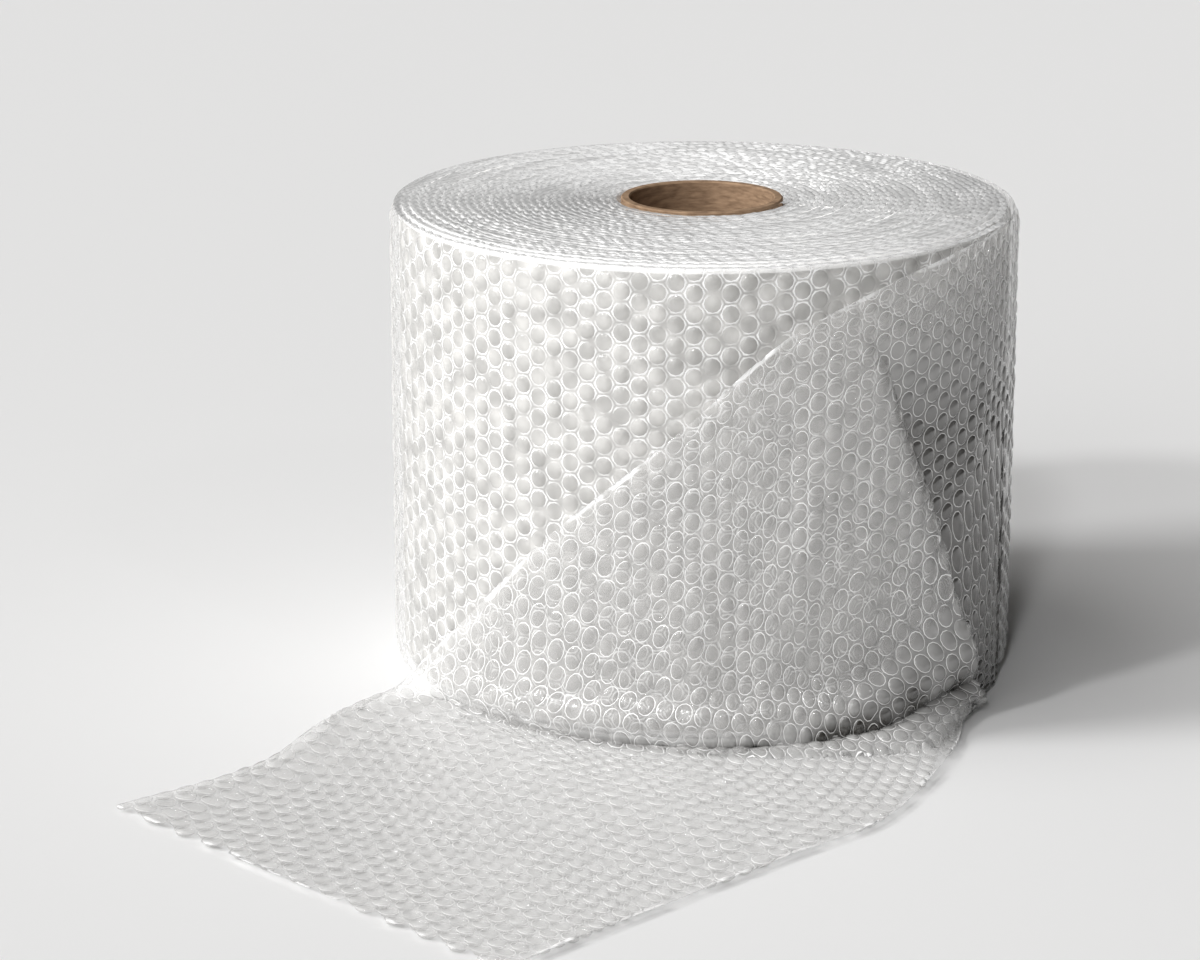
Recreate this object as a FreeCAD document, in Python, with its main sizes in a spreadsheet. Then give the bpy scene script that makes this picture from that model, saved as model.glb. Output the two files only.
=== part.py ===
"""Roll of bubble wrap that stands on its end, with the loose end of the sheet drawn off it.

Two pieces: the cardboard core, a plain tube, and the bubble wrap, one long sheet wound on it.
The outermost turn runs clockwise seen from above. It leaves the roll on its right, slides down
the front of the roll and lies on the floor towards the front left.

Millimetres and degrees. The roll's axis is the Z axis and its lower end is at z = 0.
Angles are counted anticlockwise from +X, seen from above.
"""
import FreeCAD, Part
import math
import os

import Sketcher

from FreeCAD import Vector

SIZES = {
    # cardboard core
    "core_bore": 76.2,
    "core_wall": 4.8,
    "core_edge": 0.7,
    # wound roll
    "core_clearance": 0.1,
    "roll_diameter": 336.0,
    "wrap_width": 250.0,
    "sheet_thickness": 4.2,
    "bubble_pitch": 13.2,
    "bubble_relief": 1.3,
    "rim_rounding": 10.0,
    "rim_inset": 4.0,
    # edges of the turns on the two ends
    "turn_groove": 2.4,
    "upper_turn_pitch": 8.6,
    "lower_turn_pitch": 19.0,
    # loose end
    "leaving_angle": -20.0,
    "resting_gap": 0.8,
    "column_lean": 20.0,
    "flare_height": 150.0,
    "crease_height": 26.0,
    "crease_reach": 30.0,
    # how far the bore's cutter runs past the ends
    "cutter_margin": 5.0,
}

# Stations along the loose end, from where it leaves the roll to its cut end. Each one says
# where the upper and the lower edge of the sheet are.
# upper edge: angle, height as a share of the width, distance out from the roll's wall
# lower edge, on the floor: angle, distance out from the roll's wall
STATIONS = [
    # share of the length, upper edge, lower edge
    (0.00, (-20.0, 1.000, 0.0), (-20.0, 0.0)),
    (0.13, (-50.0, 0.964, 0.0), (-39.1, 11.0)),
    (0.25, (-76.0, 0.856, 0.0), (-54.2, 48.0)),
    (0.36, (-95.0, 0.664, 0.0), (-64.5, 82.0)),
    (0.48, (-117.0, 0.440, 0.0), (-73.7, 121.0)),
    (0.60, (-137.0, 0.208, 0.0), (-82.8, 152.0)),
    (0.68, (-149.0, 0.080, 4.0), (-87.8, 177.0)),
    (0.74, (-151.0, 0.012, 30.0), (-91.3, 198.0)),
    (0.86, (-139.4, 0.000, 122.0), (-97.0, 243.0)),
    (1.00, (-138.4, 0.000, 219.0), (-102.1, 298.0)),
]
LEAVES_ROLL = STATIONS[1][0]
FLARE_ENDS = STATIONS[5][0]
LEAN_ENDS = STATIONS[6][0]

# columns of bubbles to one side of a ring on the two ends, and rows to one under the loose end
COLUMNS_PER_SIDE = 3
ROWS_PER_STRIP = 3
# rings that run on past the core's wall, where its space is cut out
RINGS_CUT_OFF = 1.5
# shares of the width at which the loose end's length is measured, and in how many steps
MEASURED_ACROSS = (0.1, 0.5, 0.9)
MEASURED_STEPS = 200
# shortest reach from the roll's foot for which the sheet's direction on the floor is known
SHORT_REACH = 0.5
# share of the loose end over which its slope is measured
SLOPE_STEP = 0.004

doc = FreeCAD.newDocument("BubbleWrapRoll")


def make_sheet():
    """Puts every driving size in a spreadsheet cell with its own alias."""
    sheet = doc.addObject("Spreadsheet::Sheet", "Sizes")
    for row, (name, value) in enumerate(SIZES.items(), start=1):
        sheet.set("A%d" % row, name)
        sheet.set("B%d" % row, "%g" % value)
        sheet.setAlias("B%d" % row, name)
    doc.recompute()
    return sheet


sheet = make_sheet()


def size(name):
    return float(sheet.get(name))


def origin_plane(body, role):
    return next(item for item in body.Origin.OriginFeatures if item.Role == role)


def make_core():
    """A straight paper tube, cut to the sheet's width, with its four edges broken."""
    body = doc.addObject("PartDesign::Body", "Core")
    body.Label = "cardboard_core"
    ring = body.newObject("Sketcher::SketchObject", "CoreSection")
    ring.AttachmentSupport = [(origin_plane(body, "XY_Plane"), "")]
    ring.MapMode = "FlatFace"
    up = Vector(0, 0, 1)
    bore = ring.addGeometry(Part.Circle(Vector(0, 0, 0), up, size("core_bore") / 2), False)
    outside = ring.addGeometry(
        Part.Circle(Vector(0, 0, 0), up, size("core_bore") / 2 + size("core_wall")), False)
    for circle in (bore, outside):
        ring.addConstraint(Sketcher.Constraint("Coincident", circle, 3, -1, 1))
    bore_size = ring.addConstraint(Sketcher.Constraint("Radius", bore, size("core_bore") / 2))
    outside_size = ring.addConstraint(
        Sketcher.Constraint("Radius", outside, size("core_bore") / 2 + size("core_wall")))
    ring.setExpression("Constraints[%d]" % bore_size, "Sizes.core_bore / 2")
    ring.setExpression("Constraints[%d]" % outside_size, "Sizes.core_bore / 2 + Sizes.core_wall")
    tube = body.newObject("PartDesign::Pad", "CoreTube")
    tube.Profile = ring
    tube.setExpression("Length", "Sizes.wrap_width")
    doc.recompute()
    edges = body.newObject("PartDesign::Chamfer", "CoreEdges")
    round_edges = [
        "Edge%d" % number
        for number, edge in enumerate(tube.Shape.Edges, start=1)
        if isinstance(edge.Curve, Part.Circle)
    ]
    edges.Base = (tube, round_edges)
    edges.setExpression("Size", "Sizes.core_edge")
    body.Tip = edges
    doc.recompute()
    return body


def polar(radius, angle, z):
    turn = math.radians(angle)
    return Vector(radius * math.cos(turn), radius * math.sin(turn), z)


class Facets:
    """Points and triangles of one closed surface, with helpers that join them up."""

    def __init__(self):
        self.points = []
        self.triangles = []

    def add(self, point):
        self.points.append(point)
        return len(self.points) - 1

    def grid(self, columns, bubbles):
        """Covers a grid of points with triangles. Where the grid carries bubbles, each of its
        squares is split between its two low corners, so every raised point is a bubble."""
        for k in range(len(columns) - 1):
            left, right = columns[k], columns[k + 1]
            for j in range(len(left) - 1):
                if bubbles and is_bubble(k, j):
                    self.triangles.append((left[j], left[j + 1], right[j]))
                    self.triangles.append((right[j], left[j + 1], right[j + 1]))
                else:
                    self.triangles.append((left[j], right[j + 1], right[j]))
                    self.triangles.append((left[j], left[j + 1], right[j + 1]))

    def strip(self, first, second):
        """Joins two open rows of points that run the same way."""
        i = j = 0
        while i < len(first) - 1 or j < len(second) - 1:
            next_first = (i + 1) / (len(first) - 1)
            next_second = (j + 1) / (len(second) - 1)
            if j == len(second) - 1 or (i < len(first) - 1 and next_first <= next_second):
                self.triangles.append((first[i], first[i + 1], second[j]))
                i += 1
            else:
                self.triangles.append((first[i], second[j + 1], second[j]))
                j += 1

    def solid(self):
        shape = Part.Shape()
        shape.makeShapeFromMesh((self.points, self.triangles), 0.001)
        solid = Part.Solid(shape.Shells[0])
        if solid.Volume < 0:
            solid.reverse()
        return solid


class Roll:
    """Works out the wound roll's surface from the driving sizes."""

    def __init__(self):
        self.radius = size("roll_diameter") / 2
        self.width = size("wrap_width")
        self.thickness = size("sheet_thickness")
        self.relief = size("bubble_relief")
        self.start = size("leaving_angle")
        pitch = size("bubble_pitch")
        column_pitch = pitch * math.cos(math.radians(30))
        around = 2 * math.pi * self.radius
        # whole sides of the ends' rings, and an even number, because the columns are staggered
        even_sides = 2 * COLUMNS_PER_SIDE
        self.columns = even_sides * round(around / column_pitch / even_sides)
        self.rows = 2 * round(self.width / pitch)
        self.column_pitch = around / self.columns

    def wall_radius(self, turn):
        """Radius of the outermost turn, from 0 where it starts to 1 where it leaves."""
        return self.radius - self.thickness * (1 - turn)

    def inset(self, z):
        """How far the soft rims curve in at height z."""
        depth = min(z, self.width - z) / size("rim_rounding")
        if depth >= 1:
            return 0.0
        return size("rim_inset") * (1 - math.sqrt(1 - (1 - depth) ** 2))

    def wall_point(self, column, row):
        turn = column / self.columns
        z = self.width * row / self.rows
        radius = self.wall_radius(turn) - self.inset(z)
        if not is_bubble(column, row):
            radius -= self.relief
        return polar(radius, self.start - 360 * turn, z)


def is_bubble(column, row):
    """Bubbles stand on every second point of the grid, staggered from column to column."""
    return (column + row) % 2 == 1


def end_face(facets, roll, rim, z, inwards, turn_pitch):
    """Edges of the turns on one end: ridges and grooves, from the rim in to the axis.
    inwards is 1 on the lower end and -1 on the upper end."""
    groove = size("turn_groove")
    segments = (len(rim) - 1) // COLUMNS_PER_SIDE
    step = 360 / segments
    bore = size("core_bore") / 2 + size("core_wall")
    outermost = roll.radius - roll.thickness - size("rim_inset")
    rings = 2 * round((outermost - bore) / turn_pitch) + 1
    found = []
    outer = None
    for ring in range(1, rings + 1):
        radius = outermost - (outermost - bore) * ring / (rings - RINGS_CUT_OFF)
        depth = groove if ring % 2 == 1 else 0.0
        inner = [
            facets.add(polar(radius, roll.start - step * (k + 0.5), z + inwards * depth))
            for k in range(segments)
        ]
        found += rim_to_ring(rim, inner) if outer is None else ring_to_ring(outer, inner)
        outer = inner
    centre = facets.add(Vector(0, 0, z + inwards * groove))
    found += [(outer[k - 1], outer[k], centre) for k in range(segments)]
    for a, b, c in found:
        facets.triangles.append((a, b, c) if inwards > 0 else (a, c, b))


def rim_to_ring(rim, ring):
    """Triangles from the wall's open edge in to the first closed ring. Both run clockwise."""
    found = []
    for k in range(len(ring)):
        here, there = ring[k - 1], ring[k]
        side = rim[k * COLUMNS_PER_SIDE:(k + 1) * COLUMNS_PER_SIDE + 1]
        found += [(side[0], side[1], here), (side[1], there, here)]
        found += [(a, b, there) for a, b in zip(side[1:], side[2:])]
    # the step where the outermost turn leaves the roll
    found.append((rim[-1], rim[0], ring[-1]))
    return found


def ring_to_ring(outer, inner):
    """Triangles between two closed rings of as many points, both of which run clockwise."""
    found = []
    for k in range(len(inner)):
        found.append((outer[k - 1], outer[k], inner[k]))
        found.append((outer[k - 1], inner[k], inner[k - 1]))
    return found


def between(values, position):
    """Smooth curve through the stations' values, at a share of the loose end's length."""
    shares = [station[0] for station in STATIONS]
    last = len(shares) - 1
    span = max(i for i in range(last) if shares[i] <= position or i == 0)
    low, high = shares[span], shares[span + 1]
    t = (position - low) / (high - low)

    def slope(i):
        before, after = max(i - 1, 0), min(i + 1, last)
        return (values[after] - values[before]) / (shares[after] - shares[before])

    start, end = values[span], values[span + 1]
    rise_start, rise_end = slope(span) * (high - low), slope(span + 1) * (high - low)
    return (
        start * (2 * t ** 3 - 3 * t ** 2 + 1)
        + rise_start * (t ** 3 - 2 * t ** 2 + t)
        + end * (3 * t ** 2 - 2 * t ** 3)
        + rise_end * (t ** 3 - t ** 2)
    )


class LooseEnd:
    """Underside of the sheet after it has left the roll."""

    def __init__(self, roll):
        self.roll = roll
        self.gap = size("resting_gap")
        self.top_angles = [top[0] for share, top, edge in STATIONS]
        self.top_heights = [top[1] for share, top, edge in STATIONS]
        self.top_distances = [top[2] for share, top, edge in STATIONS]
        self.edge_angles = [edge[0] for share, top, edge in STATIONS]
        self.edge_distances = [edge[1] for share, top, edge in STATIONS]

    def resting_radius(self, angle, position):
        """The wound turn below, with a small gap that opens where the sheet leaves."""
        turn = (self.roll.start - angle) / 360
        opening = min(position / LEAVES_ROLL, 1)
        return self.roll.wall_radius(turn) + self.gap * opening

    def section(self, position):
        """Everything that fixes the line across the sheet at one position."""
        roll = self.roll
        angle = between(self.top_angles, position)
        height = roll.width * max(between(self.top_heights, position), 0.0)
        radius = self.resting_radius(angle, position)
        radius += max(between(self.top_distances, position), 0.0)
        lean = size("column_lean") * math.sin(math.pi * min(position / LEAN_ENDS, 1))
        foot_angle = angle + lean * min(height / size("crease_height"), 1)
        foot = polar(radius, foot_angle, 0)
        edge_angle = between(self.edge_angles, position)
        edge_radius = self.resting_radius(edge_angle, position)
        edge_radius += max(between(self.edge_distances, position), 0.0)
        edge = polar(edge_radius, edge_angle, 0)
        across = edge - foot
        reach = across.Length
        outwards = polar(1, foot_angle, 0) if reach < SHORT_REACH else across * (1 / reach)
        settled = min(position / FLARE_ENDS, 1)
        shoulder = size("crease_height")
        shoulder += (size("flare_height") - size("crease_height")) * (1 - settled) ** 2
        shoulder = min(shoulder, height)
        crease = min(size("crease_reach") + shoulder / 2, reach)
        return angle, foot_angle, radius, height, shoulder, crease, reach, outwards

    def point(self, position, across):
        """across runs from 0 at the lower edge to 1 at the upper edge."""
        angle, foot_angle, radius, height, shoulder, crease, reach, outwards = (
            self.section(position))
        bend = 0.5 * (math.hypot(shoulder, crease) + shoulder + crease)
        straight_up = height - shoulder
        on_floor = reach - crease
        along = across * (straight_up + bend + on_floor)
        if along <= on_floor:
            out, z = reach - along, 0.0
        elif along <= on_floor + bend:
            t = (along - on_floor) / bend
            out, z = crease * (1 - t) ** 2, shoulder * t ** 2
        else:
            out, z = 0.0, shoulder + along - on_floor - bend
        share_up = z / height if height > SHORT_REACH else 1.0
        spot = polar(radius, foot_angle + (angle - foot_angle) * share_up, z)
        return spot + outwards * out

    def normal(self, position, across):
        """Direction out of the sheet's outer face."""
        before, after = max(position - SLOPE_STEP, 0), min(position + SLOPE_STEP, 1)
        below, above = max(across - SLOPE_STEP, 0), min(across + SLOPE_STEP, 1)
        along = self.point(after, across) - self.point(before, across)
        over = self.point(position, above) - self.point(position, below)
        return over.cross(along).normalize()

    def lengths(self):
        """Mean length of the loose end up to each of its measured steps."""
        run = [0.0]
        for k in range(MEASURED_STEPS):
            here, there = k / MEASURED_STEPS, (k + 1) / MEASURED_STEPS
            steps = [
                (self.point(there, across) - self.point(here, across)).Length
                for across in MEASURED_ACROSS
            ]
            run.append(run[-1] + sum(steps) / len(steps))
        return run


def even_positions(loose, column_pitch):
    """Positions of the columns of bubbles, one column pitch apart along the sheet."""
    run = loose.lengths()
    columns = 2 * round(run[-1] / column_pitch / 2)
    positions = [0.0]
    k = 0
    for column in range(1, columns):
        target = run[-1] * column / columns
        while run[k + 1] < target:
            k += 1
        positions.append((k + (target - run[k]) / (run[k + 1] - run[k])) / MEASURED_STEPS)
    positions.append(1.0)
    return positions


def make_wrap():
    """The whole sheet, wound and loose, as one closed surface of bubbles."""
    roll = Roll()
    loose = LooseEnd(roll)
    facets = Facets()
    wall = [
        [facets.add(roll.wall_point(column, row)) for row in range(roll.rows + 1)]
        for column in range(roll.columns + 1)
    ]
    facets.grid(wall, True)
    lower_rim = [column[0] for column in wall]
    upper_rim = [column[-1] for column in wall]
    end_face(facets, roll, upper_rim, roll.width, -1, size("upper_turn_pitch"))
    end_face(facets, roll, lower_rim, 0.0, 1, size("lower_turn_pitch"))

    positions = even_positions(loose, roll.column_pitch)
    outside = [wall[-1]]
    for k, position in enumerate(positions[1:], start=1):
        column = []
        for row in range(roll.rows + 1):
            across = row / roll.rows
            high = roll.thickness if is_bubble(k, row) else roll.thickness - roll.relief
            spot = loose.point(position, across) + loose.normal(position, across) * high
            column.append(facets.add(spot))
        outside.append(column)
    facets.grid(outside, True)

    under_rows = roll.rows // ROWS_PER_STRIP
    underside = [
        [facets.add(loose.point(position, row / under_rows)) for row in range(under_rows + 1)]
        for position in positions[2::2]
    ]
    start = wall[0]
    facets.strip(start[::-1], underside[0][::-1])
    facets.grid([column[::-1] for column in underside], False)
    upper_edge = [start[-1]] + [column[-1] for column in underside]
    lower_edge = [start[0]] + [column[0] for column in underside]
    facets.strip(upper_edge, [column[-1] for column in outside])
    facets.strip([column[0] for column in outside], lower_edge)
    facets.strip(outside[-1], underside[-1])

    sheet_surface = doc.addObject("Part::Feature", "WoundSheet")
    sheet_surface.Shape = facets.solid()
    cutter = doc.addObject("Part::Cylinder", "CoreSpace")
    cutter.setExpression("Radius", "Sizes.core_bore / 2 + Sizes.core_wall + Sizes.core_clearance")
    cutter.setExpression("Height", "Sizes.wrap_width + 2 * Sizes.cutter_margin")
    cutter.setExpression("Placement.Base.z", "-Sizes.cutter_margin")
    wrap = doc.addObject("Part::Cut", "Wrap")
    wrap.Label = "bubble_wrap"
    wrap.Base = sheet_surface
    wrap.Tool = cutter
    wrap.Refine = False
    doc.recompute()
    print("triangles", len(facets.triangles), "columns", roll.columns, "rows", roll.rows,
          "loose columns", len(positions))
    return wrap


def check_document(pieces):
    for item in doc.Objects:
        if "Invalid" in item.State or "Error" in item.State:
            raise RuntimeError("%s failed: %s" % (item.Label, item.State))
    for piece in pieces:
        if piece.Shape.isNull() or not piece.Shape.isValid():
            raise RuntimeError("%s has no valid shape" % piece.Label)


def main():
    pieces = [make_core(), make_wrap()]
    check_document(pieces)
    os.makedirs("parts", exist_ok=True)
    for piece in pieces:
        piece.Shape.exportStep("parts/%s.step" % piece.Label)
        box = piece.Shape.BoundBox
        print(piece.Label, len(piece.Shape.Solids), round(piece.Shape.Volume / 1e6, 3), "litres",
              [round(v, 1) for v in (box.XMin, box.XMax, box.YMin, box.YMax, box.ZMin, box.ZMax)])


main()
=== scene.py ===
"""Looks of the bubble wrap roll: clear film over rows of air bubbles, wound on a cardboard core.

The sheet is described as a strip. s runs along it, from minus one turn to 0 on the roll's wall and
on to the cut end of the loose part. across runs from 0 at its lower edge to 1 at its upper edge.
Bubbles stand on a hexagonal lattice that is laid over the strip. Sizes are in millimetres until a
mesh is made, and metres in Blender.
"""
import math

import bpy
import numpy as np
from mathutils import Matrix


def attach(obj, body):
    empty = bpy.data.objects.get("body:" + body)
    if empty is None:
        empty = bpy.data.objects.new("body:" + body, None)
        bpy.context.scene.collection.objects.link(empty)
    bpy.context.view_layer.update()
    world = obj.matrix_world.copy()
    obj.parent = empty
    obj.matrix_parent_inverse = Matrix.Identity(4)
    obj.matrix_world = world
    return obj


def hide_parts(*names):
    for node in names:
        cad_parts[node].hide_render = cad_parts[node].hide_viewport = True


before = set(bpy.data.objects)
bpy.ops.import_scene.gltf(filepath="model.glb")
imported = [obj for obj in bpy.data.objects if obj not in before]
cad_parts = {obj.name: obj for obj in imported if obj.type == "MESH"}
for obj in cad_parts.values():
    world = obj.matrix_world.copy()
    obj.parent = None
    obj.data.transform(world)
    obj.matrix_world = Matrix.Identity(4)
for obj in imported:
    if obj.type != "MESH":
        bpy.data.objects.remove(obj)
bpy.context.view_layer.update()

MM = 0.001
RADIUS = 168.0
WIDTH = 250.0
THICKNESS = 4.2
RELIEF = 1.3
PITCH = 10.7
LEAVING_ANGLE = -20.0
RIM_ROUNDING = 10.0
RIM_INSET = 5.0
WALL_MARGIN = 2.2
CORE_RADIUS = 42.9
TURN = 2 * math.pi * RADIUS
RESTING_GAP = 0.8
EDGE_HIGHLIGHT_BAND = 2.6
COLUMN_LEAN = 20.0
FLARE_HEIGHT = 150.0
CREASE_HEIGHT = 26.0
CREASE_REACH = 30.0

# the same stations as the source's: share of the length, upper edge (angle, height share,
# distance out), lower edge (angle, distance out)
STATIONS = np.array([
    (0.00, -20.0, 1.000, 0.0, -20.0, 0.0),
    (0.13, -50.0, 0.964, 0.0, -39.1, 11.0),
    (0.25, -76.0, 0.856, 0.0, -54.2, 48.0),
    (0.36, -95.0, 0.664, 0.0, -64.5, 82.0),
    (0.48, -117.0, 0.440, 0.0, -73.7, 121.0),
    (0.60, -137.0, 0.208, 0.0, -82.8, 152.0),
    (0.68, -149.0, 0.080, 4.0, -87.8, 177.0),
    (0.74, -151.0, 0.012, 30.0, -91.3, 198.0),
    (0.86, -139.4, 0.000, 122.0, -97.0, 243.0),
    (1.00, -138.4, 0.000, 219.0, -102.1, 298.0),
])


# the fold where the loose part stands off the wall at the right: heights on the wall, the angle
# there, and how far the fold stands out
FOLD_HEIGHTS = [0.0, 10.0, 49.0, 85.0, 120.0, 160.0, 192.0, 220.0]
FOLD_ANGLES = [-38.0, -38.5, -42.0, -46.0, -50.0, -56.0, -60.0, -66.0]
FOLD_RISES = [11.0, 11.0, 10.0, 9.0, 7.5, 5.0, 2.5, 0.0]
FOLD_RUN_UP = 45.0
FOLD_DROP = 5.0


def between(column, position):
    """Smooth curve through one column of the stations, at many positions."""
    shares, values = STATIONS[:, 0], STATIONS[:, column]
    slopes = np.gradient(values, shares)
    slopes[1:-1] = (values[2:] - values[:-2]) / (shares[2:] - shares[:-2])
    slopes[0] = (values[1] - values[0]) / (shares[1] - shares[0])
    slopes[-1] = (values[-1] - values[-2]) / (shares[-1] - shares[-2])
    span = np.clip(np.searchsorted(shares, position, side="right") - 1, 0, len(shares) - 2)
    length = shares[span + 1] - shares[span]
    t = (position - shares[span]) / length
    return (
        values[span] * (2 * t ** 3 - 3 * t ** 2 + 1)
        + slopes[span] * length * (t ** 3 - 2 * t ** 2 + t)
        + values[span + 1] * (3 * t ** 2 - 2 * t ** 3)
        + slopes[span + 1] * length * (t ** 3 - t ** 2)
    )


def polar(radius, angle):
    turn = np.radians(angle)
    return np.stack([radius * np.cos(turn), radius * np.sin(turn)], -1)


def resting_radius(angle, position):
    turn = (LEAVING_ANGLE - angle) / 360
    return RADIUS - THICKNESS * (1 - turn) + RESTING_GAP * np.minimum(position / STATIONS[1, 0], 1)


def loose_underside(position, across):
    """Underside of the loose part, on a grid of positions by shares across."""
    p = position[:, None]
    angle, rise, stand_off, edge_angle, edge_off = (between(k, p) for k in range(1, 6))
    height = WIDTH * np.maximum(rise, 0)
    radius = resting_radius(angle, p) + np.maximum(stand_off, 0)
    lean = COLUMN_LEAN * np.sin(math.pi * np.minimum(p / STATIONS[6, 0], 1))
    foot_angle = angle + lean * np.minimum(height / CREASE_HEIGHT, 1)
    foot = polar(radius, foot_angle)
    edge = polar(resting_radius(edge_angle, p) + np.maximum(edge_off, 0), edge_angle)
    reach = np.linalg.norm(edge - foot, axis=-1)
    outwards = np.where(reach[..., None] < 0.5, polar(1.0, foot_angle),
                        (edge - foot) / np.maximum(reach, 1e-6)[..., None])
    settled = np.minimum(p / STATIONS[5, 0], 1)
    shoulder = CREASE_HEIGHT + (FLARE_HEIGHT - CREASE_HEIGHT) * (1 - settled) ** 2
    shoulder = np.minimum(shoulder, height)
    crease = np.minimum(CREASE_REACH + shoulder / 2, reach)
    bend = 0.5 * (np.hypot(shoulder, crease) + shoulder + crease)
    on_floor = reach - crease
    along = across[None, :] * (height - shoulder + bend + on_floor)
    t = np.clip((along - on_floor) / np.maximum(bend, 1e-6), 0, 1)
    flat, bent = along <= on_floor, along <= on_floor + bend
    out = np.where(flat, reach - along, np.where(bent, crease * (1 - t) ** 2, 0))
    z = np.where(flat, 0, np.where(bent, shoulder * t ** 2, shoulder + along - on_floor - bend))
    share_up = np.where(height > 0.5, z / np.maximum(height, 0.5), 1)
    spot = polar(radius, foot_angle + (angle - foot_angle) * share_up) + outwards * out[..., None]
    return np.concatenate([spot, z[..., None]], -1), along - on_floor - 0.4 * bend


def unit(vectors):
    return vectors / np.maximum(np.linalg.norm(vectors, axis=-1, keepdims=True), 1e-9)


def grid_normals(grid):
    """Outward normals of the loose sheet's grid."""
    return -unit(np.cross(np.gradient(grid, axis=0), np.gradient(grid, axis=1)))


def soft_noise(x, y, seed, octaves=3):
    """Smooth noise from a few crossed waves, about -1 to 1."""
    wave = np.random.default_rng(seed)
    total, weight = 0, 0
    for octave in range(octaves):
        strength = 0.6 ** octave
        for _ in range(3):
            heading, phase = wave.uniform(0, 2 * math.pi, 2)
            k = 2 ** octave * wave.uniform(0.7, 1.3)
            total = total + strength * np.sin(k * (x * np.cos(heading) + y * np.sin(heading)) + phase)
            weight += strength
    return total / weight * 1.7


GRID_ALONG, GRID_ACROSS = 900, 250
grid_positions = np.linspace(0, 1, GRID_ALONG + 1)
grid_across = np.linspace(0, 1, GRID_ACROSS + 1)
loose_grid, from_crease = loose_underside(grid_positions, grid_across)
steps = np.linalg.norm(np.diff(loose_grid[:, [25, 125, 225]], axis=0), axis=-1).mean(1)
run = np.concatenate([[0], np.cumsum(steps)])
LOOSE_LENGTH = run[-1]
loose_normals = grid_normals(loose_grid)


wall_turn = np.degrees(np.arctan2(loose_grid[..., 1], loose_grid[..., 0]))
past_fold = np.radians(wall_turn - np.interp(loose_grid[..., 2], FOLD_HEIGHTS, FOLD_ANGLES)) * RADIUS
crease_share = np.clip((grid_positions - 0.07) / 0.08, 0, 1) * np.clip((0.74 - grid_positions) / 0.20, 0, 1)
crease_share = crease_share[:, None]


def wrinkle_heights():
    """How far the loose part stands off its smooth form: slack folds, the fold at the right, and
    the crease at the roll's foot with the puff above it."""
    rise = np.interp(loose_grid[..., 2], FOLD_HEIGHTS, FOLD_RISES)
    fold = np.where(past_fold < 0, np.exp(np.minimum(past_fold, 0) / FOLD_RUN_UP),
                    np.clip(1 - past_fold / FOLD_DROP, 0, 1)) * rise
    fold = fold * (loose_grid[..., 2] > 1.0)
    groove = -6.0 * np.exp(-(from_crease / 6.0) ** 2) * crease_share
    puff = 4.5 * np.exp(-((from_crease - 21.0) / 11.0) ** 2) * crease_share
    along = run[:, None] / 24.0
    over = grid_across[None, :] * WIDTH / 24.0
    slack = soft_noise(along + 0.35 * over, over * 0.55, 7, 3)
    lift = 2.6 * np.maximum(slack + 0.15, 0) ** 1.3
    on_wall = np.clip((loose_grid[..., 2] - 6) / 30, 0, 1)
    edge = np.clip(grid_positions / 0.05, 0, 1)[:, None]
    flat_lift = 0.5 * np.maximum(soft_noise(along * 0.8, over * 0.8, 11, 2), 0)
    return edge * (lift * on_wall + flat_lift * (1 - on_wall) + fold + groove + puff)


def painted_gap_shade():
    """Painted shade: how deep each point lies in the hollows of the crease and behind the fold at the right,
    where the film is drawn darker and denser.
    """
    spread = 6.0 + 26.0 * np.clip(1 - grid_positions / 0.42, 0, 1)[:, None]
    over = grid_across[None, :] * WIDTH / 10.0
    patchy = 0.98 + 0.30 * soft_noise(run[:, None] / 10.0, over, 23, 2)
    crease = np.exp(-((from_crease - spread / 2 + 3) / spread) ** 2) * crease_share * patchy
    behind = 0.90 * np.clip((past_fold - 2.0) / 3.0, 0, 1) * (loose_grid[..., 2] > 1.0)
    behind = behind * np.clip((215.0 - loose_grid[..., 2]) / 60.0, 0, 1)
    return np.clip(np.maximum(crease, behind), 0, 1)


gap_shade_grid = painted_gap_shade()
loose_grid = loose_grid + loose_normals * wrinkle_heights()[..., None]
loose_grid[..., 2] = np.maximum(loose_grid[..., 2], 0)
loose_normals = grid_normals(loose_grid)


def sample(grid, position, across):
    """Value of a grid of the loose part between its points."""
    i = np.clip(position, 0, 1) * GRID_ALONG
    j = np.clip(across, 0, 1) * GRID_ACROSS
    i0 = np.minimum(i.astype(int), GRID_ALONG - 1)
    j0 = np.minimum(j.astype(int), GRID_ACROSS - 1)
    fi, fj = (i - i0)[..., None], (j - j0)[..., None]
    return (
        (grid[i0, j0] * (1 - fi) + grid[i0 + 1, j0] * fi) * (1 - fj)
        + (grid[i0, j0 + 1] * (1 - fi) + grid[i0 + 1, j0 + 1] * fi) * fj
    )


def strip(s, across, high):
    """Points of the sheet at a height over its underside, both for wall and loose end."""
    turn = 1 + s / TURN
    z = across * (WIDTH - WALL_MARGIN)
    depth = np.clip(np.minimum(z, WIDTH - z) / RIM_ROUNDING, 0, 1)
    inset = RIM_INSET * (1 - np.sqrt(1 - (1 - depth) ** 2))
    radius = RADIUS - THICKNESS * (1 - turn) - THICKNESS + high - inset
    wall = np.concatenate([polar(radius, LEAVING_ANGLE - 360 * turn), z[..., None]], -1)
    position = np.interp(s, run, grid_positions)
    loose = sample(loose_grid, position, across)
    loose = loose + unit(sample(loose_normals, position, across)) * high[..., None]
    loose[..., 2] = np.maximum(loose[..., 2], 0)
    return np.where((s < 0)[..., None], wall, loose)


# heading of the strip's middle line in the lattice: aligned on the roll, turned on the loose part
HEADING_AT = np.array([-60.0, 0.0, 0.12, 0.30, 0.60, 1.00])
HEADING = np.radians([0.0, 0.0, -12.0, -21.0, -24.0, -28.0])

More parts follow.
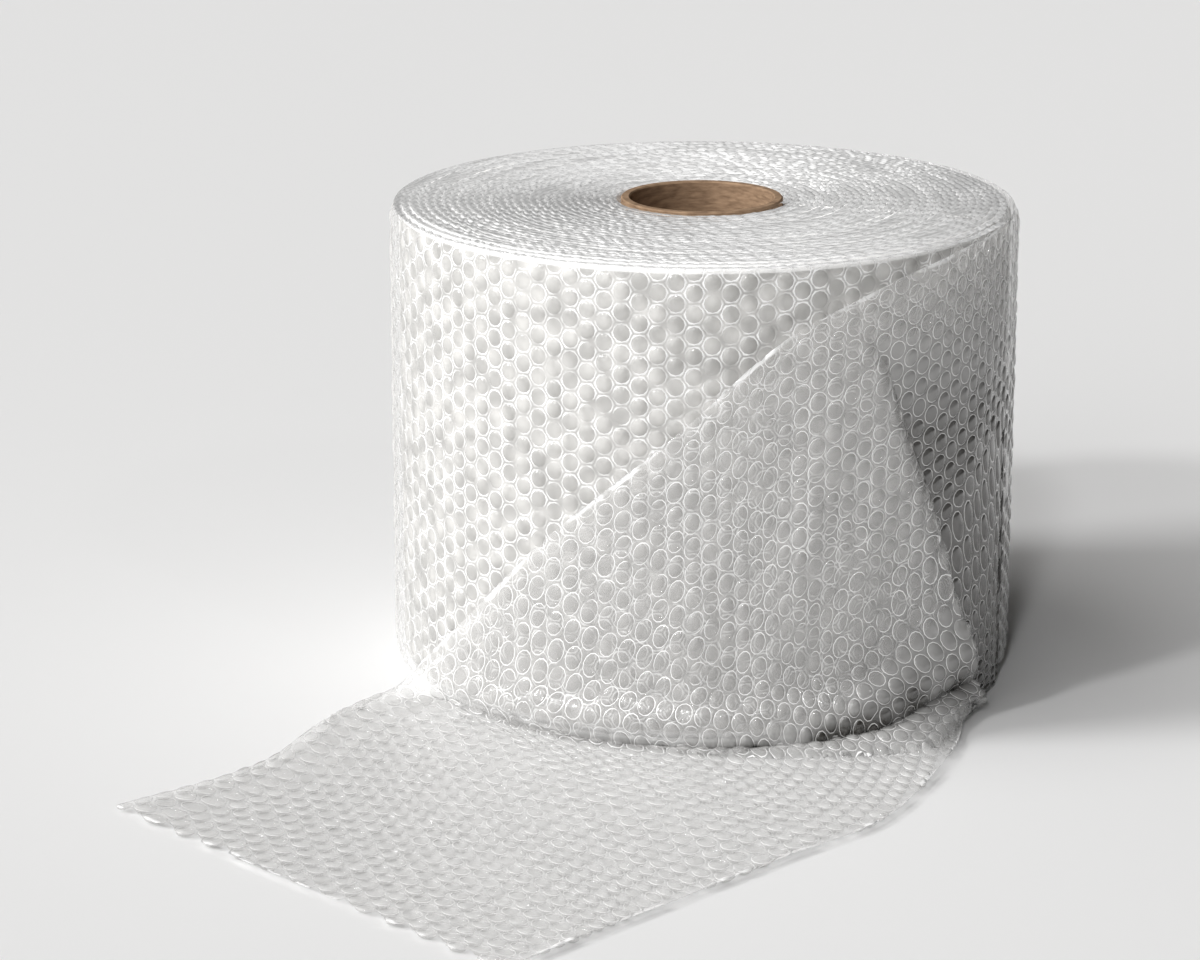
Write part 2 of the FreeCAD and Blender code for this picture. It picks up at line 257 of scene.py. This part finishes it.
line_s = np.arange(-1.1 * TURN, LOOSE_LENGTH + 20, 1.0)
line_heading = np.interp(line_s / LOOSE_LENGTH, HEADING_AT, HEADING)
line_x = np.cumsum(np.cos(line_heading))
line_y = np.cumsum(np.sin(line_heading))
origin_step = np.searchsorted(line_s, 0.0)
line_x -= line_x[origin_step]
line_y -= line_y[origin_step]


def to_strip(x, y):
    """Strip coordinates (s, across) of points of the lattice."""
    s = x.copy()
    for _ in range(12):
        heading = np.interp(s, line_s, line_heading)
        dx = x - np.interp(s, line_s, line_x)
        dy = y - np.interp(s, line_s, line_y)
        s = s + dx * np.cos(heading) + dy * np.sin(heading)
    heading = np.interp(s, line_s, line_heading)
    dx = x - np.interp(s, line_s, line_x)
    dy = y - np.interp(s, line_s, line_y)
    return s, (-dx * np.sin(heading) + dy * np.cos(heading)) / WIDTH + 0.5


def lattice_centres(s_from, s_to):
    column = PITCH * math.sqrt(3) / 2
    found = []
    reach = WIDTH * 1.2
    low = np.interp(s_from, line_s, line_x) - reach
    high = np.interp(s_to, line_s, line_x) + reach
    for i in range(int(low // column), int(high // column) + 1):
        offset = 0.5 * (i % 2)
        for j in range(-70, 71):
            found.append((i * column, (j + offset) * PITCH))
    centres = np.array(found)
    s, across = to_strip(centres[:, 0], centres[:, 1])
    edge = 0.45 * PITCH / WIDTH
    keep = (s >= s_from) & (s < s_to) & (across > -edge) & (across < 1 + edge)
    return centres[keep], s[keep], across[keep]


TWELFTHS = np.radians(np.arange(12) * 30.0)
HEX_REACH = PITCH * np.where(np.arange(12) % 2 == 0, 1 / math.sqrt(3), 0.5)


def ring_triangles(first, second):
    """Triangles between two rings of twelve, as indices."""
    found = []
    for k in range(12):
        n = (k + 1) % 12
        found.append((first + k, second + k, second + n))
        found.append((first + k, second + n, first + n))
    return found


def cell_triangles(rings, has_centre):
    """Triangles of one cell: its centre point if it has one, and rings from inside out."""
    found = []
    first = 0
    if has_centre:
        first = 1
        found += [(0, 1 + k, 1 + (k + 1) % 12) for k in range(12)]
    for ring in range(rings - 1):
        found += ring_triangles(first + 12 * ring, first + 12 * (ring + 1))
    return found


def gap_shade_at(s, across):
    """Painted shade of points of the strip, by how deep they lie in hollows, fading out on the wall."""
    position = np.interp(s, run, grid_positions)
    return sample(gap_shade_grid[..., None], position, across)[..., 0] * np.clip(1 + s / 120.0, 0, 1)


def make_object(name, points, triangles, material, marks=None):
    """Blender mesh from points in millimetres, without empty triangles. Its marks are numbers for each point:
    how near it is to the ring where the two films are joined, which is drawn white as partly the real weld and
    partly a painted highlight, and how much painted shade it gets in hollows."""
    corners = points[triangles]
    area = np.linalg.norm(np.cross(corners[:, 1] - corners[:, 0], corners[:, 2] - corners[:, 0]), axis=1)
    triangles = triangles[area > 2e-3]
    used, triangles = np.unique(triangles, return_inverse=True)
    triangles = triangles.reshape(-1, 3)
    mesh = bpy.data.meshes.new(name)
    mesh.from_pydata((points[used] * MM).tolist(), [], triangles.tolist())
    mesh.validate()
    mesh.polygons.foreach_set("use_smooth", np.ones(len(mesh.polygons), bool))
    for mark, values in (marks or {}).items():
        attribute = mesh.attributes.new(mark, "FLOAT", "POINT")
        attribute.data.foreach_set("value", values[used].astype(np.float32))
    mesh.update()
    piece = bpy.data.objects.new(name, mesh)
    bpy.context.scene.collection.objects.link(piece)
    mesh.materials.append(material)
    return piece


def finish_piece(piece):
    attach(piece, "root")
    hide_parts("bubble_wrap")


def bubble_factors(count, seed):
    """How full each bubble is: most full, some slack, a few flat."""
    draw = np.random.default_rng(seed)
    full = draw.uniform(0.65, 1.1, count)
    slack = draw.uniform(0, 1, count) < 0.12
    full[slack] *= draw.uniform(0.2, 0.7, slack.sum())
    return full


def edge_fade(s, across, s_to):
    """0 for bubbles that the sheet's edges cut through, 1 for whole ones."""
    to_side = (0.5 - np.abs(across - 0.5)) * WIDTH
    to_end = s_to - s
    return np.clip((np.minimum(to_side, to_end) / PITCH - 0.1) / 0.35, 0.04, 1)


def film_layer(name, s_from, s_to, material, fine, seed):
    """The sheet's flat film: a low dome over each bubble, a crease round it, and the web between."""
    centres, s_c, across_c = lattice_centres(s_from, s_to)
    count = len(centres)
    full = bubble_factors(count, seed) * edge_fade(s_c, across_c, LOOSE_LENGTH)
    draw = np.random.default_rng(seed + 1)
    tilt = draw.normal(0, 0.05 * PITCH, (count, 2))
    # the ring where the films are welded is drawn white: partly the real weld, partly a painted highlight
    if fine:
        radii, heights = [0.18, 0.345, 0.40, 0.43, 0.46], [0.93, 0.58, 0.25, 0.0, 0.12]
        seal_highlights = [0.0, 0.0, 0.1, 1.0, 0.1]
    else:
        radii, heights = [0.25, 0.39, 0.44], [0.84, 0.3, 0.0]
        seal_highlights = [0.0, 0.1, 1.0]
    per_cell = 1 + 12 * len(radii)
    own = np.zeros((count, per_cell, 2))
    own_high = np.zeros((count, per_cell))
    own_seal_highlight = np.zeros((count, per_cell))
    own[:, 0] = centres + tilt * 0.6
    own_high[:, 0] = full
    for ring, (radius, height) in enumerate(zip(radii, heights)):
        shift = tilt * max(0.0, 1 - radius / 0.42) * 0.6
        spots = np.stack([np.cos(TWELFTHS), np.sin(TWELFTHS)], -1) * radius * PITCH
        own[:, 1 + 12 * ring:13 + 12 * ring] = centres[:, None] + shift[:, None] + spots[None]
        own_high[:, 1 + 12 * ring:13 + 12 * ring] = (height * full)[:, None]
        own_seal_highlight[:, 1 + 12 * ring:13 + 12 * ring] = seal_highlights[ring]
    border = centres[:, None] + np.stack([np.cos(TWELFTHS), np.sin(TWELFTHS)], -1) * HEX_REACH[:, None]
    key = np.round(border.reshape(-1, 2) / (0.02 * PITCH)).astype(int)
    _, first, back = np.unique(key, axis=0, return_index=True, return_inverse=True)
    shared = border.reshape(-1, 2)[first]
    back = back.reshape(count, 12)
    template = np.array(cell_triangles(len(radii), True))
    triangles = (template[None] + (np.arange(count) * per_cell)[:, None, None]).reshape(-1, 3)
    outer = 1 + 12 * (len(radii) - 1)
    webs = []
    for k in range(12):
        n = (k + 1) % 12
        a = np.arange(count) * per_cell + outer + k
        b = np.arange(count) * per_cell + outer + n
        c, d = count * per_cell + back[:, k], count * per_cell + back[:, n]
        webs.append(np.stack([a, c, d], -1))
        webs.append(np.stack([a, d, b], -1))
    triangles = np.concatenate([triangles] + webs)
    flat = np.concatenate([own.reshape(-1, 2), shared])
    web_high = 0.22 + 0.10 * np.random.default_rng(seed + 2).uniform(-1, 1, len(shared))
    rise = np.concatenate([own_high.reshape(-1), web_high])
    s, across = to_strip(flat[:, 0], flat[:, 1])
    s = np.clip(s, s_from - 6, s_to if s_to < LOOSE_LENGTH else LOOSE_LENGTH)
    across = np.clip(across, 0, 1)
    high = THICKNESS - RELIEF + RELIEF * rise
    points = strip(s, across, high)
    seal_highlight = np.concatenate([own_seal_highlight.reshape(-1), np.full(len(shared), 0.12)])
    # a band along the loose sheet's cut edges is drawn dense and white: partly the film's own edge, partly a
    # painted highlight where the edge catches the light
    margin = np.minimum((0.5 - np.abs(across - 0.5)) * WIDTH, LOOSE_LENGTH - s)
    uneven = np.clip(0.6 + 0.6 * soft_noise(s / 9.0, across * 26, 31, 2), 0, 1)
    seal_highlight = np.where(s > 5, np.maximum(seal_highlight, np.clip(1.3 - margin / EDGE_HIGHLIGHT_BAND, 0, 1) * uneven), seal_highlight)
    # the second mark is painted shade, darker in the crease and behind the fold
    marks = {"seal_highlight": seal_highlight, "gap_shade": gap_shade_at(s, across)}
    piece = make_object(name, points, triangles[:, ::-1], material, marks)
    finish_piece(piece)
    return piece


def cup_layer(name, s_from, s_to, material, fine, seed):
    """The formed film behind the flat one: one round cup of air for each bubble."""
    centres, s_c, across_c = lattice_centres(s_from, s_to)
    count = len(centres)
    fade = edge_fade(s_c, across_c, LOOSE_LENGTH)
    keep = fade > 0.3
    centres, count = centres[keep], int(keep.sum())
    full = bubble_factors(len(fade), seed)[keep] ** 0.3 * np.minimum(fade[keep] + 0.1, 1)
    draw = np.random.default_rng(seed + 3)
    tilt = draw.normal(0, 0.04 * PITCH, (count, 2))
    # the cup's wall near its welded ring is drawn whiter: partly the real weld, partly a painted highlight
    if fine:
        radii, depths = [0.20, 0.33, 0.40, 0.425], [0.98, 0.84, 0.42, 0.0]
        seal_highlights = [0.0, 0.05, 0.25, 0.8]
    else:
        radii, depths = [0.26, 0.40, 0.43], [0.95, 0.5, 0.0]
        seal_highlights = [0.0, 0.3, 1.0]
    per_cell = 1 + 12 * len(radii)
    own = np.zeros((count, per_cell, 2))
    deep = np.zeros((count, per_cell))
    own_seal_highlight = np.zeros((count, per_cell))
    own[:, 0] = centres + tilt
    deep[:, 0] = full
    for ring, (radius, depth) in enumerate(zip(radii, depths)):
        shift = tilt * depth
        spots = np.stack([np.cos(TWELFTHS), np.sin(TWELFTHS)], -1) * radius * PITCH
        own[:, 1 + 12 * ring:13 + 12 * ring] = centres[:, None] + shift[:, None] + spots[None]
        deep[:, 1 + 12 * ring:13 + 12 * ring] = (depth * full)[:, None]
        own_seal_highlight[:, 1 + 12 * ring:13 + 12 * ring] = seal_highlights[ring]
    template = np.array(cell_triangles(len(radii), True))
    triangles = (template[None] + (np.arange(count) * per_cell)[:, None, None]).reshape(-1, 3)
    flat = own.reshape(-1, 2)
    s, across = to_strip(flat[:, 0], flat[:, 1])
    s = np.clip(s, s_from - 6, LOOSE_LENGTH)
    across = np.clip(across, 0, 1)
    web = THICKNESS - RELIEF
    high = web - np.clip(deep.reshape(-1), 0, 1) * (web - 0.15)
    points = strip(s, across, high)
    # the second mark is painted shade, darker in the crease and behind the fold
    marks = {"seal_highlight": own_seal_highlight.reshape(-1), "gap_shade": gap_shade_at(s, across)}
    piece = make_object(name, points, triangles, material, marks)
    finish_piece(piece)
    return piece


def node_material(name):
    material = bpy.data.materials.new(name)
    material.use_nodes = True
    nodes = material.node_tree.nodes
    shader = nodes["Principled BSDF"]
    return material, nodes, material.node_tree.links, shader


def film_material(name, colour, clear, dense, roughness, bump_scale, bump_strength, ring_highlight=0.0,
                  shadow=0.8):
    """Clear film: see-through where it faces the eye, denser where it turns away. The welded rings are drawn
    dense and white, partly the real weld and partly a painted highlight, and painted shade darkens it in
    hollows.
    """
    material, nodes, links, shader = node_material(name)
    gap_shade = nodes.new("ShaderNodeAttribute")
    gap_shade.attribute_name = "gap_shade"
    seal_highlight = nodes.new("ShaderNodeAttribute")
    seal_highlight.attribute_name = "seal_highlight"
    crisp = nodes.new("ShaderNodeMapRange")
    crisp.inputs["From Min"].default_value = 0.30
    crisp.inputs["From Max"].default_value = 0.85
    links.new(seal_highlight.outputs["Fac"], crisp.inputs["Value"])
    shaded = nodes.new("ShaderNodeMapRange")
    shaded.inputs["To Min"].default_value = 0.5
    shaded.inputs["To Max"].default_value = 0.0
    links.new(gap_shade.outputs["Fac"], shaded.inputs["Value"])
    place_in_ramp = nodes.new("ShaderNodeMath")
    place_in_ramp.operation = "MULTIPLY_ADD"
    place_in_ramp.inputs[1].default_value = 0.5
    links.new(crisp.outputs["Result"], place_in_ramp.inputs[0])
    links.new(shaded.outputs["Result"], place_in_ramp.inputs[2])
    # base colour: painted shade takes it towards near black in hollows, and the welded rings go white, partly
    # real and partly a painted highlight
    shade = nodes.new("ShaderNodeValToRGB")
    shade.color_ramp.elements[0].color = (0.05, 0.047, 0.042, 1)
    shade.color_ramp.elements[1].color = (0.97, 0.97, 0.97, 1)
    middle = shade.color_ramp.elements.new(0.5)
    middle.color = (*colour, 1)
    links.new(place_in_ramp.outputs["Value"], shade.inputs["Fac"])
    links.new(shade.outputs["Color"], shader.inputs["Base Color"])
    # painted shade also makes the film denser in hollows
    shade_density = nodes.new("ShaderNodeMapRange")
    shade_density.inputs["To Max"].default_value = 0.70
    links.new(gap_shade.outputs["Fac"], shade_density.inputs["Value"])
    shader.inputs["IOR"].default_value = 1.5
    shader.inputs["Specular IOR Level"].default_value = 0.6
    shader.inputs["Coat Weight"].default_value = 0.9
    shader.inputs["Coat IOR"].default_value = 1.6
    shader.inputs["Coat Roughness"].default_value = 0.2
    facing = nodes.new("ShaderNodeLayerWeight")
    facing.inputs["Blend"].default_value = 0.35
    alpha = nodes.new("ShaderNodeMapRange")
    alpha.inputs["To Min"].default_value = clear
    alpha.inputs["To Max"].default_value = dense
    links.new(facing.outputs["Facing"], alpha.inputs["Value"])
    patches = nodes.new("ShaderNodeTexNoise")
    patches.inputs["Scale"].default_value = 130.0
    patches.inputs["Detail"].default_value = 1.0
    uneven = nodes.new("ShaderNodeMapRange")
    uneven.inputs["From Min"].default_value = 0.35
    uneven.inputs["From Max"].default_value = 0.68
    uneven.inputs["To Min"].default_value = 0.0
    uneven.inputs["To Max"].default_value = ring_highlight
    links.new(patches.outputs["Fac"], uneven.inputs["Value"])
    # the welded rings are drawn denser: partly the real weld, partly a painted highlight
    ring = nodes.new("ShaderNodeMath")
    ring.operation = "MULTIPLY_ADD"
    ring.use_clamp = True
    links.new(crisp.outputs["Result"], ring.inputs[0])
    links.new(uneven.outputs["Result"], ring.inputs[1])
    body = nodes.new("ShaderNodeMath")
    body.operation = "ADD"
    links.new(alpha.outputs["Result"], body.inputs[0])
    links.new(shade_density.outputs["Result"], body.inputs[1])
    links.new(body.outputs["Value"], ring.inputs[2])
    # thin film scatters most of the light that it stops, so it casts only a weak shadow
    rays = nodes.new("ShaderNodeLightPath")
    passing = nodes.new("ShaderNodeMapRange")
    passing.inputs["To Min"].default_value = 1.0
    passing.inputs["To Max"].default_value = shadow
    links.new(rays.outputs["Is Shadow Ray"], passing.inputs["Value"])
    density = nodes.new("ShaderNodeMath")
    density.operation = "MULTIPLY"
    density.use_clamp = True
    links.new(ring.outputs["Value"], density.inputs[0])
    links.new(passing.outputs["Result"], density.inputs[1])
    links.new(density.outputs["Value"], shader.inputs["Alpha"])
    place = nodes.new("ShaderNodeTexCoord")
    links.new(place.outputs["Object"], patches.inputs["Vector"])
    grain = nodes.new("ShaderNodeTexNoise")
    grain.inputs["Scale"].default_value = bump_scale
    grain.inputs["Detail"].default_value = 3.0
    links.new(place.outputs["Object"], grain.inputs["Vector"])
    rough = nodes.new("ShaderNodeMapRange")
    rough.inputs["To Min"].default_value = roughness * 0.7
    rough.inputs["To Max"].default_value = roughness * 1.5
    links.new(grain.outputs["Fac"], rough.inputs["Value"])
    links.new(rough.outputs["Result"], shader.inputs["Roughness"])
    bump = nodes.new("ShaderNodeBump")
    bump.inputs["Strength"].default_value = bump_strength
    bump.inputs["Distance"].default_value = 0.0008
    links.new(grain.outputs["Fac"], bump.inputs["Height"])
    links.new(bump.outputs["Normal"], shader.inputs["Normal"])
    return material


def milky_material(name, dark, light, roughness):
    """Many layers of film together: milky, with the bubbles behind showing as soft rings."""
    material, nodes, links, shader = node_material(name)
    place = nodes.new("ShaderNodeTexCoord")
    rings = nodes.new("ShaderNodeTexVoronoi")
    rings.inputs["Scale"].default_value = 95.0
    links.new(place.outputs["Object"], rings.inputs["Vector"])
    ramp = nodes.new("ShaderNodeValToRGB")
    ramp.color_ramp.elements[0].position = 0.15
    ramp.color_ramp.elements[0].color = (*light, 1)
    ramp.color_ramp.elements[1].position = 0.75
    ramp.color_ramp.elements[1].color = (*dark, 1)
    links.new(rings.outputs["Distance"], ramp.inputs["Fac"])
    links.new(ramp.outputs["Color"], shader.inputs["Base Color"])
    shader.inputs["Roughness"].default_value = roughness
    shader.inputs["IOR"].default_value = 1.5
    bump = nodes.new("ShaderNodeBump")
    bump.inputs["Strength"].default_value = 0.5
    bump.inputs["Distance"].default_value = 0.002
    links.new(rings.outputs["Distance"], bump.inputs["Height"])
    links.new(bump.outputs["Normal"], shader.inputs["Normal"])
    return material


def cardboard_material():
    """Brown paper tube: wound plies and fibres."""
    material, nodes, links, shader = node_material("cardboard_brown")
    place = nodes.new("ShaderNodeTexCoord")
    fibres = nodes.new("ShaderNodeTexNoise")
    fibres.inputs["Scale"].default_value = 160.0
    fibres.inputs["Detail"].default_value = 8.0
    stretch = nodes.new("ShaderNodeMapping")
    stretch.inputs["Scale"].default_value = (1.0, 1.0, 4.0)
    links.new(place.outputs["Object"], stretch.inputs["Vector"])
    links.new(stretch.outputs["Vector"], fibres.inputs["Vector"])
    ramp = nodes.new("ShaderNodeValToRGB")
    ramp.color_ramp.elements[0].position = 0.1
    ramp.color_ramp.elements[0].color = (0.10, 0.052, 0.024, 1)
    ramp.color_ramp.elements[1].position = 0.95
    ramp.color_ramp.elements[1].color = (0.50, 0.335, 0.21, 1)
    links.new(fibres.outputs["Fac"], ramp.inputs["Fac"])
    links.new(ramp.outputs["Color"], shader.inputs["Base Color"])
    shader.inputs["Roughness"].default_value = 0.85
    bump = nodes.new("ShaderNodeBump")
    bump.inputs["Strength"].default_value = 0.2
    bump.inputs["Distance"].default_value = 0.0006
    links.new(fibres.outputs["Fac"], bump.inputs["Height"])
    links.new(bump.outputs["Normal"], shader.inputs["Normal"])
    return material


clear_film = film_material("clear_film", (0.86, 0.855, 0.845), 0.24, 0.36, 0.05, 500.0, 0.04, 2.4, shadow=0.9)
wound_film = film_material("wound_film", (0.92, 0.92, 0.915), 0.30, 0.42, 0.07, 500.0, 0.04, 0.9)
formed_film = film_material("formed_film", (0.42, 0.41, 0.395), 0.18, 0.28, 0.05, 400.0, 0.04, 0.5, shadow=0.9)
milky_turns = milky_material("milky_turns", (0.28, 0.27, 0.25), (0.64, 0.625, 0.60), 0.45)
milky_ends = milky_material("milky_ends", (0.84, 0.835, 0.825), (0.94, 0.935, 0.925), 0.4)

inner_turn_end = -TURN - 50
film_layer("wound_film_start", inner_turn_end, -TURN / 2, wound_film, False, 10)
film_layer("wound_film_end", -TURN / 2, 0.0, wound_film, False, 30)
film_layer("loose_film", 0.0, LOOSE_LENGTH, clear_film, True, 20)
cup_layer("loose_bubbles", 0.0, LOOSE_LENGTH, formed_film, True, 20)


def inner_body():
    """The turns under the outermost one, as one milky body round the core."""
    around = 360
    profile = [
        (CORE_RADIUS + 0.2, 4.0, False), (0, 3.0, True), (2.0, 6.0, True),
        (2.6, WIDTH / 2, True), (2.0, WIDTH - 6.0, True), (0, WIDTH - 3.0, True),
        (CORE_RADIUS + 0.2, WIDTH - 4.0, False),
    ]
    turn = np.arange(around) / around
    outside = RADIUS - THICKNESS * (1 - turn) - THICKNESS - 3.2
    points = []
    for value, z, is_outside in profile:
        radius = outside + value if is_outside else np.full(around, value)
        ring = polar(radius, LEAVING_ANGLE - 360 * turn)
        points.append(np.concatenate([ring, np.full((around, 1), z)], 1))
    triangles = []
    for level in range(len(profile)):
        above = (level + 1) % len(profile)
        for k in range(around):
            n = (k + 1) % around
            a, b = level * around + k, level * around + n
            c, d = above * around + k, above * around + n
            triangles.append((a, c, d))
            triangles.append((a, d, b))
    piece = make_object("inner_turns", np.concatenate(points), np.array(triangles), milky_turns)
    piece.data.materials.append(milky_ends)
    on_end = [int(abs(face.normal.z) > 0.5) for face in piece.data.polygons]
    piece.data.polygons.foreach_set("material_index", on_end)
    finish_piece(piece)


def turn_edges(name, z_end, upwards, seed):
    """Edges of the wound turns on one end: a wavy film edge and the ends of its bubbles."""
    draw = np.random.default_rng(seed)
    turns = 29
    outermost = RADIUS - THICKNESS - 1.0
    samples_per_bubble = 6
    points, triangles = [], []
    for turn in range(turns):
        middle = outermost - (turn + 0.5) * THICKNESS
        if middle < CORE_RADIUS + 2:
            break
        bubbles = round(2 * math.pi * middle / PITCH)
        count = bubbles * samples_per_bubble
        share = np.arange(count + 1) / count
        radius = outermost - (turn + share) * THICKNESS
        angle = LEAVING_ANGLE - 360 * share
        phase = draw.uniform(0, 1)
        drift = 0.35 * soft_noise(share * bubbles * 0.4, share * 0, seed + 7 * turn, 2)
        wave = np.cos(2 * math.pi * (share * bubbles + phase + drift))
        wave = wave * (1 + 0.7 * soft_noise(share * bubbles, share * 0, seed + 9 * turn, 2))
        uneven = soft_noise(share * 40, share * 0 + turn, seed + turn) * 1.3
        drop = 0.6 * draw.uniform(0.0, 1.0) + 0.2 + 0.6 * np.abs(uneven)
        rim = max(0.0, 1 - turn * THICKNESS / 9.0) ** 2 * 1.6
        lengths = [
            (2.2 + 0.2 * wave, 0.6 + 0.5 * drop),
            (1.3 + 0.5 * wave, 0.5 * drop + 0.4 - 0.4 * wave),
            (0.2 + 0.4 * wave, 0.4 * drop + 0.5 + 0.5 * wave),
            (-1.1 - 0.4 * wave, 0.5 * drop + 0.6 - 0.5 * wave),
            (-2.2 - 0.2 * wave, 0.6 + 0.5 * drop),
        ]
        base = sum(len(p) for p in points)
        for offset, below in lengths:
            depth = np.maximum(rim + below, 0)
            z = z_end - depth if upwards else z_end + depth
            ring = polar(radius + offset, angle)
            points.append(np.concatenate([ring, np.broadcast_to(z, (count + 1,))[:, None]], 1))
        for level in range(len(lengths) - 1):
            a = base + level * (count + 1) + np.arange(count)
            b, c, d = a + 1, a + count + 1, a + count + 2
            triangles.append(np.stack([a, b, d], -1))
            triangles.append(np.stack([a, d, c], -1))
    triangles = np.concatenate(triangles)
    if not upwards:
        triangles = triangles[:, ::-1]
    piece = make_object(name, np.concatenate(points), triangles, edge_film)
    finish_piece(piece)


edge_film = film_material("edge_film", (0.97, 0.97, 0.97), 0.72, 0.98, 0.06, 500.0, 0.15, shadow=0.25)
inner_body()
turn_edges("upper_turn_edges", WIDTH, True, 60)
turn_edges("lower_turn_edges", 0.0, False, 90)

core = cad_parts["cardboard_core"]
core.data.materials.clear()
core.data.materials.append(cardboard_material())

# floor, lamps, world and camera

floor_mesh = bpy.data.meshes.new("floor")
FLOOR_SIZE = 9.0
floor_mesh.from_pydata(
    [(-FLOOR_SIZE, -FLOOR_SIZE, 0), (FLOOR_SIZE, -FLOOR_SIZE, 0),
     (FLOOR_SIZE, FLOOR_SIZE, 0), (-FLOOR_SIZE, FLOOR_SIZE, 0)], [], [(0, 1, 2, 3)])
floor = bpy.data.objects.new("floor", floor_mesh)
bpy.context.scene.collection.objects.link(floor)
floor_material, floor_nodes, floor_links, floor_shader = node_material("floor_white")
floor_shader.inputs["Base Color"].default_value = (0.82, 0.82, 0.82, 1)
floor_shader.inputs["Roughness"].default_value = 0.9
floor_shader.inputs["Specular IOR Level"].default_value = 0.2
floor_mesh.materials.append(floor_material)


def sun_lamp(name, azimuth, elevation, width, strength):
    """A far lamp, seen at an azimuth and elevation from the roll, width degrees across."""
    data = bpy.data.lights.new(name, "SUN")
    data.angle = math.radians(width)
    data.energy = strength
    lamp = bpy.data.objects.new(name, data)
    bpy.context.scene.collection.objects.link(lamp)
    lamp.rotation_euler = (math.radians(90 - elevation), 0, math.radians(azimuth + 90))


sun_lamp("key", -171, 30, 16, 1.82)
sun_lamp("left_glint", -142, 34, 6, 0.90)
sun_lamp("front_fill", -120, 20, 40, 0.84)
sun_lamp("front_glint", -102, 38, 6, 0.60)
sun_lamp("right_glint", -52, 36, 4, 0.06)
sun_lamp("back_light", 178, 62, 30, 0.55)

world = bpy.data.worlds.new("studio")
bpy.context.scene.world = world
world.use_nodes = True
sky = world.node_tree.nodes["Background"]
direction = world.node_tree.nodes.new("ShaderNodeTexCoord")
parts = world.node_tree.nodes.new("ShaderNodeSeparateXYZ")
world.node_tree.links.new(direction.outputs["Generated"], parts.inputs["Vector"])
sides = world.node_tree.nodes.new("ShaderNodeMapRange")
sides.inputs["From Min"].default_value = -1.0
sides.inputs["From Max"].default_value = 0.0
sides.inputs["To Min"].default_value = 0.40
sides.inputs["To Max"].default_value = 0.0
world.node_tree.links.new(parts.outputs["X"], sides.inputs["Value"])
above = world.node_tree.nodes.new("ShaderNodeMapRange")
above.inputs["From Min"].default_value = 0.25
above.inputs["From Max"].default_value = 1.0
above.inputs["To Min"].default_value = 0.0
above.inputs["To Max"].default_value = 0.06
world.node_tree.links.new(parts.outputs["Z"], above.inputs["Value"])
total = world.node_tree.nodes.new("ShaderNodeMath")
total.operation = "ADD"
world.node_tree.links.new(sides.outputs["Result"], total.inputs[0])
world.node_tree.links.new(above.outputs["Result"], total.inputs[1])
world.node_tree.links.new(total.outputs["Value"], sky.inputs["Strength"])
sky.inputs["Color"].default_value = (1.0, 0.965, 0.92, 1)

camera_data = bpy.data.cameras.new("camera")
camera_data.lens = 115.35
camera_data.sensor_width = 36.0
camera = bpy.data.objects.new("camera", camera_data)
bpy.context.scene.collection.objects.link(camera)
camera.location = (-0.0539, -1.9976, 0.6646)
camera.rotation_euler = (math.radians(90 - 15.95), 0, 0)
bpy.context.scene.camera = camera

bpy.context.scene.view_settings.view_transform = "Standard"
